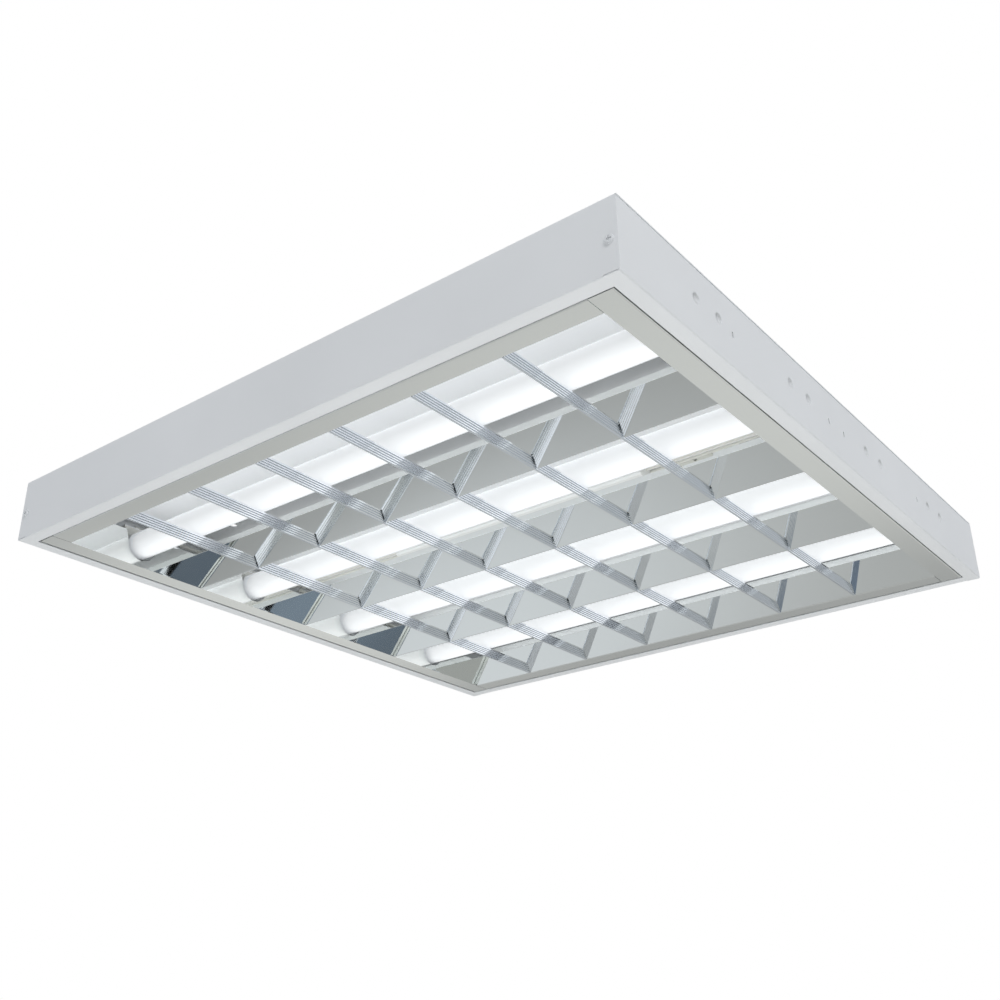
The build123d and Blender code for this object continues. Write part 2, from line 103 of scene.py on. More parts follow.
# ---- shared helpers -----------------------------------------------------------------------------
def linear(hex_code: str) -> tuple[float, float, float, float]:
    """Turns an sRGB hex colour into linear light.

    Args:
        hex_code: The colour as "#RRGGBB".

    Returns:
        Red, green, blue and an alpha of 1.
    """
    channels = [int(hex_code[i:i + 2], 16) / 255 for i in (1, 3, 5)]
    lit = [c / 12.92 if c <= 0.04045 else ((c + 0.055) / 1.055) ** 2.4 for c in channels]
    return lit[0], lit[1], lit[2], 1.0


def add_node(tree: NodeTree, kind: str, inputs: Optional[Mapping[Any, Any]] = None, **settings: Any) -> Node:
    """Adds a shader node with its settings, its input values and its links.

    Args:
        tree: The node tree that takes the node.
        kind: The node's type, such as "ShaderNodeBump".
        inputs: A value or another node's output for each named or numbered input.
        **settings: The node's own settings, such as operation="ADD".

    Returns:
        The new node.
    """
    node = tree.nodes.new(kind)
    for name, value in settings.items():
        setattr(node, name, value)
    for key, value in (inputs or {}).items():
        if isinstance(value, NodeSocket):
            tree.links.new(value, node.inputs[key])
        else:
            node.inputs[key].default_value = value
    return node


def arithmetic(tree: NodeTree, operation: str, *values: Any, clamp: bool = False) -> NodeSocket:
    """Adds one step of arithmetic.

    Args:
        tree: The node tree that takes the step.
        operation: What it does, such as "ADD".
        *values: The numbers or other nodes' outputs that it works on.
        clamp: Whether the result is kept between 0 and 1.

    Returns:
        The result.
    """
    return add_node(tree, "ShaderNodeMath", dict(enumerate(values)),
                    operation=operation, use_clamp=clamp).outputs["Value"]


def ramp(tree: NodeTree, value: NodeSocket, start: tuple[float, float] = (0.0, 1.0),
         goal: tuple[float, float] = (0.0, 1.0), smooth: bool = False) -> NodeSocket:
    """Carries a value from one range over to another.

    Args:
        tree: The node tree that takes the ramp.
        value: The value.
        start: The range that it comes from.
        goal: The range that it goes to.
        smooth: Whether the ramp eases in and out.

    Returns:
        The value in its new range.
    """
    return add_node(tree, "ShaderNodeMapRange", {
        "Value": value, "From Min": start[0], "From Max": start[1], "To Min": goal[0], "To Max": goal[1]},
        interpolation_type="SMOOTHSTEP" if smooth else "LINEAR").outputs["Result"]


def noise(tree: NodeTree, place: NodeSocket, size: float, detail: float,
          distortion: float = 0.0) -> NodeSocket:
    """Adds a noise pattern.

    Args:
        tree: The node tree that takes the pattern.
        place: The coordinates that it reads.
        size: How far apart its lumps lie.
        detail: How many finer layers lie over them.
        distortion: How far the lumps are swirled.

    Returns:
        The pattern, about 0.5 on the whole.
    """
    return add_node(tree, "ShaderNodeTexNoise", {
        "Vector": place, "Scale": 1 / size, "Detail": detail, "Distortion": distortion}).outputs["Fac"]


def two_tone(tree: NodeTree, share: NodeSocket, first: str, second: str) -> NodeSocket:
    """Mixes two colours.

    Args:
        tree: The node tree that takes the mix.
        share: How much of the second colour there is, 0 to 1.
        first: The first colour.
        second: The second colour.

    Returns:
        The mixed colour.
    """
    return add_node(tree, "ShaderNodeMix", {
        0: share, 6: linear(first), 7: linear(second)}, data_type="RGBA").outputs[2]


def bump(tree: NodeTree, height: NodeSocket, distance: float, strength: float = 0.5,
         normal: Optional[NodeSocket] = None) -> NodeSocket:
    """Turns a height into a tilt of the surface.

    Args:
        tree: The node tree that takes the bump.
        height: The height, 0 to 1.
        distance: How high 1 is.
        strength: How much of the tilt shows.
        normal: A bump that this one lies on.

    Returns:
        The tilted normal.
    """
    under = {} if normal is None else {"Normal": normal}
    return add_node(tree, "ShaderNodeBump", {
        "Height": height, "Strength": strength, "Distance": distance, **under}).outputs["Normal"]


def feed(tree: NodeTree, shader: Node, sources: Mapping[str, NodeSocket]) -> None:
    """Links outputs to a shader's inputs.

    Args:
        tree: The material's nodes.
        shader: The shader.
        sources: The output for each named input.
    """
    for name, source in sources.items():
        tree.links.new(source, shader.inputs[name])


@dataclass(frozen=True)
class Surface:
    """A grid of points, points[i, j], with a quad between each four neighbours.

    The columns j always close on themselves, so every row is a loop. Rows close on themselves
    only where wraps is set. Where filled is set, the first and last loops each get one face.
    """

    points: np.ndarray
    wraps: bool = False
    filled: bool = False

    def faces(self, first: int) -> list[list[int]]:
        """Numbers the grid's faces.

        Args:
            first: The number of the grid's first vertex in the mesh.

        Returns:
            The vertex numbers of each face.
        """
        rows, columns = self.points.shape[:2]
        number = first + np.arange(rows * columns).reshape(rows, columns)
        upper = np.roll(number, -1, axis=0)
        if not self.wraps:
            number, upper = number[:-1], upper[:-1]
        quads = np.stack([number, np.roll(number, -1, axis=1), np.roll(upper, -1, axis=1), upper], axis=-1)
        made = quads.reshape(-1, 4).tolist()
        if self.filled:
            made.append(list(range(first, first + columns)))
            made.append(list(range(first + (rows - 1) * columns, first + rows * columns)))
        return made


def make_piece(name: str, surfaces: Sequence[Surface], body: str, replaces: Sequence[str] = (),
               crease: float = 38.0) -> Object:
    """Makes one object of the given surfaces, closed and facing outwards, and hands it to its body.

    Args:
        name: The piece's name.
        surfaces: The surfaces that make it up.
        body: The body that it rides on.
        replaces: The CAD nodes that it stands for.
        crease: Edges sharper than this many degrees stay sharp.

    Returns:
        The finished object, its place in its mesh.
    """
    vertices: list[list[float]] = []
    faces: list[list[int]] = []
    for surface in surfaces:
        faces += surface.faces(len(vertices))
        vertices += surface.points.reshape(-1, 3).tolist()
    mesh = bpy.data.meshes.new(name)
    mesh.from_pydata(vertices, [], faces)
    shape = bmesh.new()
    shape.from_mesh(mesh)
    bmesh.ops.remove_doubles(shape, verts=shape.verts, dist=1e-7)
    bmesh.ops.recalc_face_normals(shape, faces=shape.faces)
    shape.to_mesh(mesh)
    shape.free()
    mesh.polygons.foreach_set("use_smooth", [True] * len(mesh.polygons))
    mesh.set_sharp_from_angle(angle=math.radians(crease))
    piece = bpy.data.objects.new(name, mesh)
    bpy.context.scene.collection.objects.link(piece)
    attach(piece, body)
    if replaces:
        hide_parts(*replaces)
    LOG.info("piece %s: %d faces on %s", name, len(mesh.polygons), body)
    return piece


def turned(profile: np.ndarray, origin: Sequence[float], axis: Sequence[float],
           segments: int = 64) -> np.ndarray:
    """Turns a profile round an axis.

    The point at height h and radius r, a part t of the way round, lies at the origin plus h times
    the axis plus r times (cos t, sin t) in the plane square to the axis.

    Args:
        profile: Rows of (height along the axis, radius).
        origin: Where height 0 meets the axis.
        axis: The axis, one unit long.
        segments: How many points go round.

    Returns:
        The grid, one row for each profile point.
    """
    along = np.asarray(axis, float)
    side = np.cross(along, (0.0, 0.0, 1.0) if abs(along[2]) < 0.9 else (1.0, 0.0, 0.0))
    side /= np.linalg.norm(side)
    third = np.cross(along, side)
    angle = np.linspace(0, 2 * np.pi, segments, endpoint=False)
    ring = np.cos(angle)[:, None] * side + np.sin(angle)[:, None] * third
    height, radius = profile[:, 0], profile[:, 1]
    return np.asarray(origin, float) + height[:, None, None] * along + radius[:, None, None] * ring


def corner_arc(height: float, radius: float, size: float, start: float, steps: int = 5) -> np.ndarray:
    """A quarter arc in a profile: its centre plus size times (cos t, sin t), for a quarter of t.

    Args:
        height: The centre's height.
        radius: The centre's radius from the axis.
        size: The arc's own radius.
        start: Where t starts, in degrees.
        steps: How many points it has.

    Returns:
        Rows of (height, radius).
    """
    t = np.radians(np.linspace(start, start + 90, steps))
    return np.stack([height + size * np.cos(t), radius + size * np.sin(t)], axis=-1)


def finish_nodes(frame: Frame, nodes: Sequence[str], material: Material) -> None:
    """Gives CAD nodes a finish.

    Args:
        frame: The loaded frame.
        nodes: The nodes' names.
        material: The finish.
    """
    for name in nodes:
        node = frame["nodes"][name]
        if not node.material_slots:
            node.data.materials.append(material)
        for place in node.material_slots:
            place.material = material
        LOG.info("node %s: %s", name, material.name)


# ---- finishes -----------------------------------------------------------------------------------
@dataclass(frozen=True)
class Finish:
    """What every finish has: a name, a colour and the plain values of its shader."""

    name: str
    colour: str
    roughness: float
    metallic: float = 0.0

    def material(self) -> Material:
        """Builds the material.

        Returns:
            The material, with the finish's own detail on its shader.
        """
        made = bpy.data.materials.new(self.name)
        made.use_nodes = True
        tree = made.node_tree
        tree.nodes.clear()
        shader = add_node(tree, "ShaderNodeBsdfPrincipled", {
            "Base Color": linear(self.colour), "Roughness": self.roughness, "Metallic": self.metallic})
        add_node(tree, "ShaderNodeOutputMaterial", {"Surface": shader.outputs["BSDF"]})
        made.diffuse_color = linear(self.colour)
        place = add_node(tree, "ShaderNodeTexCoord").outputs["Object"]
        self.detail(tree, shader, place)
        return made

    def detail(self, tree: NodeTree, shader: Node, place: NodeSocket) -> None:
        """Adds the surface's own detail. A plain finish has none."""


@dataclass(frozen=True)
class PowderCoat(Finish):
    """Powder-coated steel, sprayed and baked: an even satin white with a faint orange peel."""

    second: str = "#E4E6E8"
    peel: float = 1.6 * MM
    peel_height: float = 0.012 * MM
    drift: float = 160 * MM
    gloss_drift: float = 0.05

    def detail(self, tree: NodeTree, shader: Node, place: NodeSocket) -> None:
        """Adds the peel, a slow drift in tone, and softer and glossier areas.

        Args:
            tree: The material's nodes.
            shader: The shader that takes the detail.
            place: The Object coordinates.
        """
        # Real peel is about 0.5 mm across; it is drawn three times as coarse, so that it shows.
        peel = noise(tree, place, self.peel, 2.0)
        drift = noise(tree, place, self.drift, 3.0)
        glossy, dull = self.roughness - self.gloss_drift, self.roughness + self.gloss_drift
        feed(tree, shader, {
            "Base Color": two_tone(tree, drift, self.colour, self.second),
            "Roughness": ramp(tree, drift, goal=(glossy, dull)),
            "Normal": bump(tree, peel, self.peel_height)})


@dataclass(frozen=True)
class DimpledCoat(PowderCoat):
    """The same coat on the end walls, where it rounds off the pressed dimples over the lamps' ends."""

    pitch: float = LAMP_PITCH
    offset: float = 14.85 * MM
    height: float = 30.2 * MM
    inside: float = 0.6 * MM
    outside: float = 5.2 * MM
    press: float = 2.4 * MM

    def detail(self, tree: NodeTree, shader: Node, place: NodeSocket) -> None:
        """Adds the coat's detail, then dishes it round each dimple.

        The dish's depth goes by a smooth step of the distance to the nearest dimple. The lamps lie
        at half pitches, so the fraction of y over the pitch, less a half, tells how far off the
        nearest lamp is, and the dimples lie at an even offset either side of it.

        Args:
            tree: The material's nodes.
            shader: The shader that takes the detail.
            place: The Object coordinates.
        """
        super().detail(tree, shader, place)
        split = add_node(tree, "ShaderNodeSeparateXYZ", {"Vector": place})
        turns = arithmetic(tree, "DIVIDE", split.outputs["Y"], self.pitch)
        part = arithmetic(tree, "FRACT", turns)
        lamp = arithmetic(tree, "MULTIPLY_ADD", part, self.pitch, -self.pitch / 2)
        reach = arithmetic(tree, "ABSOLUTE", lamp)
        across = arithmetic(tree, "SUBTRACT", reach, self.offset)
        rise = arithmetic(tree, "SUBTRACT", split.outputs["Z"], self.height)
        flat = add_node(tree, "ShaderNodeCombineXYZ", {"X": across, "Y": rise})
        far = add_node(tree, "ShaderNodeVectorMath", {0: flat.outputs["Vector"]}, operation="LENGTH")
        dish = ramp(tree, far.outputs["Value"], (self.inside, self.outside), smooth=True)
        coat = shader.inputs["Normal"].links[0].from_socket
        feed(tree, shader, {"Normal": bump(tree, dish, self.press, 1.0, coat)})


@dataclass(frozen=True)
class AnodisedSheet(Finish):
    """Brightened and anodised aluminium sheet: a mirror with faint rolling lines and slow waves."""

    roll: Roll = Roll.ALONG_X
    line: float = 30 * MM
    line_height: float = 0.002 * MM
    wave: float = 90 * MM
    wave_height: float = 0.06 * MM
    lines_seen: tuple[float, float] = (0.3, 0.7)
    spread: float = 0.03

    def detail(self, tree: NodeTree, shader: Node, place: NodeSocket) -> None:
        """Adds rolling lines, the sheet's slow waves, and a haze that follows the lines.

        Args:
            tree: The material's nodes.
            shader: The shader that takes the detail.
            place: The Object coordinates.
        """
        # Rolling lines are some hundredths of a millimetre apart; these are half a millimetre.
        drawn = add_node(tree, "ShaderNodeMapping", {"Vector": place, "Scale": self.roll.value})
        lines = noise(tree, drawn.outputs["Vector"], self.line, 4.0)
        waves = noise(tree, place, self.wave, 0.5)
        slow = bump(tree, waves, self.wave_height, 1.0)
        feed(tree, shader, {
            "Roughness": ramp(tree, lines, self.lines_seen, (self.roughness, self.roughness + self.spread)),
            "Normal": bump(tree, lines, self.line_height, normal=slow)})


@dataclass(frozen=True)
class RibbedSheet(AnodisedSheet):
    """The same sheet pressed into fine ribs, with a thin dark line of painted shade along the groove between
    two ribs.
    """

    # Painted shade: the darker colour drawn along each groove between two ribs.
    painted_groove_shade: str = "#D3D9E1"
    first: float = BLADE_BASE
    pitch: float = BLADE_HEIGHT / BLADE_RIBS
    share: float = 0.24

    def detail(self, tree: NodeTree, shader: Node, place: NodeSocket) -> None:
        """Adds the sheet's detail, then a line of painted shade along each groove.

        Args:
            tree: The material's nodes.
            shader: The shader that takes the detail.
            place: The Object coordinates.
        """
        super().detail(tree, shader, place)
        split = add_node(tree, "ShaderNodeSeparateXYZ", {"Vector": place})
        turns = arithmetic(
            tree, "MULTIPLY_ADD", split.outputs["Z"], 1 / self.pitch, 0.5 - self.first / self.pitch)
        middle = arithmetic(tree, "SUBTRACT", arithmetic(tree, "FRACT", turns), 0.5)
        reach = arithmetic(tree, "ABSOLUTE", middle)
        # Painted shade: the groove colour is mixed in where a point lies near the foot of a rib.
        shade = ramp(tree, reach, (self.share / 4, self.share / 2), smooth=True)
        feed(tree, shader, {"Base Color": two_tone(tree, shade, self.painted_groove_shade, self.colour)})


@dataclass(frozen=True)
class PhosphorGlass(Finish):
    """Glass tube with a phosphor coat inside, lit: an even milky white, greyer at the cathodes."""

    glow: str = "#FBFDFF"
    strength: float = 0.42
    cathode: str = "#D3D7DB"
    lit_half: float = 272 * MM
    end_half: float = 292 * MM
    grain: float = 100 / 9 * MM
    fray: float = 6 * MM
    gloss: float = 0.6
    gloss_roughness: float = 0.03

    def detail(self, tree: NodeTree, shader: Node, place: NodeSocket) -> None:
        """Adds the glow, which falls off towards the ends, and the glass's own gloss.

        Args:
            tree: The material's nodes.
            shader: The shader that takes the detail.
            place: The Object coordinates.
        """
        split = add_node(tree, "ShaderNodeSeparateXYZ", {"Vector": place})
        reach = arithmetic(tree, "ABSOLUTE", split.outputs["X"])
        grain = noise(tree, place, self.grain, 2.0)
        frayed = arithmetic(tree, "MULTIPLY_ADD", grain, self.fray, reach)
        dark = ramp(tree, frayed, (self.lit_half, self.end_half), smooth=True)
        shader.inputs["Emission Strength"].default_value = self.strength
        shader.inputs["Coat Weight"].default_value = self.gloss
        shader.inputs["Coat Roughness"].default_value = self.gloss_roughness
        feed(tree, shader, {
            "Base Color": two_tone(tree, dark, self.colour, self.cathode),
            "Emission Color": two_tone(tree, dark, self.glow, self.cathode)})


@dataclass(frozen=True)
class WorkedMetal(Finish):
    """Drawn, plated or pressed metal: brushed one way, with darker specks where it is handled."""

    second: str = "#8E9092"
    stretch: tuple[float, float, float] = (1.0, 30.0, 30.0)
    brush: float = 12 * MM
    brush_height: float = 0.01 * MM
    spangle: float = 9 * MM
    wear: tuple[float, float] = (-0.08, 0.12)

    def detail(self, tree: NodeTree, shader: Node, place: NodeSocket) -> None:
        """Adds brush lines and the spangle of the plating.

        Args:
            tree: The material's nodes.
            shader: The shader that takes the detail.
            place: The Object coordinates.
        """
        drawn = add_node(tree, "ShaderNodeMapping", {"Vector": place, "Scale": self.stretch})
        lines = noise(tree, drawn.outputs["Vector"], self.brush, 5.0)
        grains = add_node(tree, "ShaderNodeTexVoronoi", {"Vector": place, "Scale": 1 / self.spangle})
        share = arithmetic(tree, "MULTIPLY", grains.outputs["Distance"], lines)
        polished, worn = (self.roughness + change for change in self.wear)
        feed(tree, shader, {
            "Base Color": two_tone(tree, share, self.colour, self.second),
            "Roughness": ramp(tree, lines, goal=(polished, worn)),
            "Normal": bump(tree, lines, self.brush_height, 0.4)})


@dataclass(frozen=True)
class Moulded(Finish):
    """Injection-moulded plastic or rubber: one tone, a fine spark-eroded grain and flow marks."""

    second: str = "#D8D8D2"
    grain: float = 0.9 * MM
    grain_height: float = 0.02 * MM
    flow: float = 14 * MM
    swirl: float = 0.8

    def detail(self, tree: NodeTree, shader: Node, place: NodeSocket) -> None:
        """Adds the mould's grain and the slow flow marks.

        Args:
            tree: The material's nodes.
            shader: The shader that takes the detail.
            place: The Object coordinates.
        """
        # Mould grain is about 0.1 mm; it is drawn coarser, so that it shows at all.
        grain = noise(tree, place, self.grain, 3.0)
        flow = noise(tree, place, self.flow, 2.0, self.swirl)
        feed(tree, shader, {
            "Base Color": two_tone(tree, flow, self.colour, self.second),
            "Normal": bump(tree, grain, self.grain_height)})


@dataclass(frozen=True)
class StripedSleeve(Finish):
    """PVC insulation in two colours, one a band along the wire: here drawn as bands across it."""

    second: str = "#D9C93A"
    band: float = 5 * MM
    edge: tuple[float, float] = (0.46, 0.54)

    def detail(self, tree: NodeTree, shader: Node, place: NodeSocket) -> None:
        """Adds the bands, with a little wander at their edges.

        Args:
            tree: The material's nodes.
            shader: The shader that takes the detail.
            place: The Object coordinates.
        """
        bands = add_node(tree, "ShaderNodeTexWave", {
            "Vector": place, "Scale": 1 / (20 * self.band), "Distortion": 0.4, "Detail": 1.0},
            bands_direction="DIAGONAL")
        stripe = ramp(tree, bands.outputs["Fac"], self.edge)
        feed(tree, shader, {"Base Color": two_tone(tree, stripe, self.colour, self.second)})


class Finishes:
    """Every finish on the light, made once."""

    def __init__(self) -> None:
        """Builds the materials."""
        # Polyester powder coat on mild steel: satin, so it shows soft light and no sharp reflection.
        self.white_steel = PowderCoat("powder_coated_steel", "#F1F3F5", 0.40).material()
        # The same coat on the end walls: its gloss turns over at the pressed dimples' soft edges.
        self.dimpled_steel = DimpledCoat("powder_coated_end_walls", "#F1F3F5", 0.40).material()
        # Bright anodised aluminium: keeps the room's reflection sharp, a little greyer than silver.
        self.mirror_x = AnodisedSheet("bright_anodised_aluminium_x", "#ECEEEC", 0.03, 1.0).material()
        self.mirror_y = AnodisedSheet(
            "bright_anodised_aluminium_y", "#ECEEEC", 0.03, 1.0, roll=Roll.ALONG_Y).material()
        # The blades are the same sheet: each rib's long side turns the reflection up to the light.
        # Their tone is painted paler and bluer than the flat sheet's, a painted reflection of that bright
        # light, and each groove has a thin dark line of painted shade.
        self.ribbed = RibbedSheet(
            "ribbed_anodised_aluminium", "#F6F9FE", 0.09, 1.0, roll=Roll.ALONG_Y,
            line_height=0.0003 * MM, wave_height=0.01 * MM, spread=0.04).material()
        # Glass over phosphor: the coat's even white under a clear gloss, and greyer at the cathodes.
        self.phosphor_glass = PhosphorGlass("phosphor_coated_glass", "#F4F6F8", 0.25).material()
        # Drawn aluminium caps: satin, with turning marks round them.
        self.cap_shell = WorkedMetal(
            "drawn_aluminium_caps", "#D2D4D6", 0.32, 1.0, stretch=(30.0, 2.0, 2.0)).material()
        # Nickel-plated brass pins: warmer and glossier than the caps.
        self.pin_metal = WorkedMetal("nickel_plated_pins", "#D6D1C4", 0.22, 1.0).material()
        # Moulded phenolic: matt buff, like the plates that carry lamp pins.
        self.cap_plate = Moulded("phenolic_cap_plates", "#D9D2C4", 0.5, second="#CDC5B4").material()
        # Glass-filled PBT: matt white, a little warm, where the rotors are glossier polycarbonate.
        self.holder = Moulded("moulded_pbt_lampholders", "#ECECE7", 0.42).material()
        self.rotor = Moulded("moulded_polycarbonate_rotors", "#EDEDE9", 0.22).material()
        # Rolled spring steel, bare: a darker grey than the zinc, with lines along the strip.
        self.spring = WorkedMetal("spring_steel_strip", "#A9ACAE", 0.30, 1.0).material()
        # Bright zinc plate on steel screws: a pale grey gloss.
        self.screw = WorkedMetal("zinc_plated_screws", "#C3C6C6", 0.30, 1.0, brush=3 * MM).material()
        # Screw heads painted with the body: as white as the steel, a little rougher.
        self.painted_screw = PowderCoat("painted_screw_heads", "#E9EBED", 0.45, second="#DCDFE1").material()
        # Stove enamel on the ballast's case: white, and flatter than the tray round it.
        self.gear_case = PowderCoat("coated_gear_case", "#EBEDEC", 0.5, second="#E2E4E3").material()
        # Moulded polyamide: an even, slightly yellow satin.
        self.terminal = Moulded("polyamide_terminal_block", "#DEDDD5", 0.45).material()
        # EPDM rubber: near black, dull, with a bloom that lifts its edges.
        self.rubber = Moulded("moulded_rubber_grommet", "#1E1E1F", 0.62, second="#2B2B2C").material()
        # Extruded PVC: soft satin colours in sharp bands.
        self.earth_sleeve = StripedSleeve("green_yellow_pvc_sleeve", "#4E9A3A", 0.38).material()
        # The same PVC in one colour: a soft white gloss with no grain to speak of.
        self.white_sleeve = Moulded(
            "white_pvc_sleeve", "#EDEDE8", 0.36, second="#E3E3DC", grain_height=0.005 * MM).material()


# ---- sub-assemblies -----------------------------------------------------------------------------
@dataclass
class CrossHeadScrew:
    """A low screw head with a cross recess, on a short shank."""

    head_radius: float = 3.2 * MM
    head_height: float = 1.6 * MM
    edge: float = 0.55 * MM
    dome: float = 0.12 * MM
    shank_radius: float = 1.75 * MM
    shank_length: float = 7.0 * MM
    arm_length: float = 1.95 * MM
    arm_width: float = 0.62 * MM
    recess: float = 1.0 * MM
    segments: int = 64

    def surface(self, seat: Sequence[float], axis: Sequence[float]) -> Surface:
        """Works out the screw's surface.

        The top's height at radius r is the head's height, less a shallow dome, rounded off at the
        rim by a quarter ellipse; in the recess it falls by the depth times how far the point lies
        inside either arm, each arm a bar that fades over a fifth of its width.

        Args:
            seat: The middle of the head's underside.
            axis: The way the head faces, one unit long.

        Returns:
            One closed surface.
        """
        r = np.concatenate([np.linspace(0, 0.72, 26), np.linspace(0.75, 1.0, 12)]) * self.head_radius
        t = np.linspace(0, 2 * np.pi, self.segments, endpoint=False)
        over = np.clip((r - (self.head_radius - self.edge)) / self.edge, 0, 1)
        rim = self.edge * (1 - np.sqrt(1 - over**2))
        top = self.head_height - self.dome * (r / self.head_radius) ** 2 - rim
        u, v = r[:, None] * np.cos(t), r[:, None] * np.sin(t)
        fade = self.arm_width / 5
        across = [np.clip((self.arm_width - np.abs(a)) / fade, 0, 1) for a in (u, v)]
        along = [np.clip((self.arm_length - np.abs(a)) / (3 * fade), 0, 1) for a in (v, u)]
        height = top[:, None] - self.recess * np.maximum(across[0] * along[0], across[1] * along[1])
        below = np.array([[0.0, self.head_radius], [0.0, self.shank_radius],
                          [-self.shank_length, self.shank_radius], [-self.shank_length, 0.0]])
        radius = np.concatenate([r, below[:, 1]])
        rest = np.repeat(below[:, :1], self.segments, axis=1)
        flat = turned(np.stack([np.zeros_like(radius), radius], axis=-1), seat, axis, self.segments)
        lift = np.concatenate([height, rest])[:, :, None] * np.asarray(axis, float)
        return Surface(flat + lift)


@dataclass
class SteelBody:
    """The folded tray, its two end walls and the screws at its corners."""

    half: float = 310.0 * MM
    screw_inset: float = 6.0 * MM
    screw_height: float = 24.5 * MM
    screw: CrossHeadScrew = field(default_factory=CrossHeadScrew)

    def build(self) -> Object:
        """Makes the four corner screws, heads outwards on the long walls.

        Returns:
            The screws as one piece.
        """
        places = [(end.value * (self.half - self.screw_inset), side) for end in End for side in (-1, 1)]
        return make_piece("corner_screw_heads", [
            self.screw.surface((x, side * self.half, self.screw_height), (0.0, float(side), 0.0))
            for x, side in places], Body.HOUSING.value, ["corner_screws"])

    def dress(self, frame: Frame, finishes: Finishes) -> None:
        """Coats the body and its screws.

        Args:
            frame: The loaded frame.
            finishes: The finishes.
        """
        finish_nodes(frame, ["tray_pan"], finishes.white_steel)
        finish_nodes(frame, ["end_wall_near", "end_wall_far"], finishes.dimpled_steel)
        self.build().data.materials.append(finishes.painted_screw)


@dataclass
class Lamp:
    """One T8 lamp: the glass, two caps with their plates, and four pins."""

    number: int
    y: float
    z: float = 24.5 * MM
    face: float = 294.9 * MM
    glass_radius: float = 12.75 * MM
    glass_wall: float = 0.9 * MM
    setback: float = 1.5 * MM
    shoulder: float = 1.4 * MM
    cap_radius: float = 13.0 * MM
    cap_length: float = 7.5 * MM
    cap_edge: float = 0.8 * MM
    lining: float = 12.77 * MM
    ring_depth: float = 0.12 * MM
    ring_width: float = 0.55 * MM
    ring_part: float = 0.66
    mouth_roll: float = 0.08 * MM
    plate_radius: float = 10.2 * MM
    plate_sink: float = 0.2 * MM
    plate_well: float = 8.6 * MM
    plate_land: float = 9.0 * MM
    plate_set: float = 0.06 * MM
    pin_radius: float = 1.2 * MM
    pin_edge: float = 0.5 * MM
    pin_length: float = 7.1 * MM
    pin_spacing: float = 12.7 * MM

    @property
    def body(self) -> str:
        """The body that the lamp is."""
        return f"lamp_{self.number}"

    def glass(self) -> Object:
        """Makes the tube: an outer and an inner wall that meet in rounded ends.

        Returns:
            The tube.
        """
        end = self.face - self.setback
        inside = self.glass_radius - self.glass_wall
        drop = self.shoulder * (1 - np.cos(np.linspace(np.pi / 2, 0, 6)))
        x = end - self.shoulder + self.shoulder * np.sin(np.linspace(np.pi / 2, 0, 6))
        near = np.stack([x, self.glass_radius - drop * self.glass_wall / self.shoulder], axis=-1)
        far = near[::-1] * (-1.0, 1.0)
        straight = np.linspace(-0.97, 0.97, 25) * end
        outer = np.stack([straight, np.full_like(straight, self.glass_radius)], axis=-1)
        inner = np.array([(-end, inside), (end, inside)])
        loop = np.concatenate([far[::-1], outer, near[::-1], inner[::-1]])
        return make_piece(f"lamp_{self.number}_glass", [
            Surface(turned(loop, (0.0, self.y, self.z), (1.0, 0.0, 0.0), 96), wraps=True)],
            self.body, [f"lamp_{self.number}_tube"])

    def cap_profile(self) -> np.ndarray:
        """The cap's cut edge: a cup with a rounded corner, a pressed ring and a rolled mouth.

        The ring is a dip in the cup's radius, the ring's depth times a bell curve of the distance
        along the cup.

        Returns:
            Rows of (height from the cap's face, going in towards the glass, radius).
        """
        wall = self.cap_radius
        corner = corner_arc(self.cap_edge, wall - self.cap_edge, self.cap_edge, 90, 7)[::-1]
        run = np.linspace(self.cap_edge, self.cap_length, 22)[1:-1]
        dip = self.ring_depth * np.exp(-((run - self.ring_part * self.cap_length) / self.ring_width) ** 2)
        side = np.stack([run, wall - dip], axis=-1)
        mouth = np.array([(self.cap_length, wall - self.mouth_roll), (self.cap_length, self.lining)])
        back = np.array([(self.setback, self.lining), (self.setback, self.plate_radius)])
        lip = np.array([(0.0, self.plate_radius)])
        return np.concatenate([lip, corner, side, mouth, back])

    def caps(self) -> tuple[Object, Object, Object]:
        """Makes both caps, their insulating plates and the four pins.

        Returns:
            The cups, the plates and the pins, each as one piece.
        """
        cups, plates, pins = [], [], []
        profile = self.cap_profile()
        plate = np.array([
            (self.plate_sink, 0.0), (self.plate_sink, self.plate_well), (self.plate_set, self.plate_land),
            (self.plate_set, self.plate_radius), (self.setback, self.plate_radius), (self.setback, 0.0)])
        soft = self.pin_edge
        tip = corner_arc(-self.pin_length + soft, self.pin_radius - soft, soft, 90, 5)
        pin = np.concatenate([[(self.setback, 0.0), (self.setback, self.pin_radius)], tip,
                              [(-self.pin_length, 0.0)]])
        for end in End:
            inwards = (-float(end.value), 0.0, 0.0)
            middle = (end.value * self.face, self.y, self.z)
            cups.append(Surface(turned(profile, middle, inwards, 72), wraps=True))
            plates.append(Surface(turned(plate, middle, inwards, 48)))
            for side in (-0.5, 0.5):
                root = (middle[0], self.y + side * self.pin_spacing, self.z)
                pins.append(Surface(turned(pin, root, inwards, 24)))
        name = f"lamp_{self.number}"
        return (make_piece(f"{name}_cap_cups", cups, self.body, [f"{name}_caps"]),
                make_piece(f"{name}_cap_plates", plates, self.body, ()),
                make_piece(f"{name}_cap_pins", pins, self.body, ()))

    def dress(self, finishes: Finishes) -> None:
        """Builds the lamp and finishes it.

        Args:
            finishes: The finishes.
        """
        self.glass().data.materials.append(finishes.phosphor_glass)
        materials = (finishes.cap_shell, finishes.cap_plate, finishes.pin_metal)
        for piece, material in zip(self.caps(), materials):
            piece.data.materials.append(material)


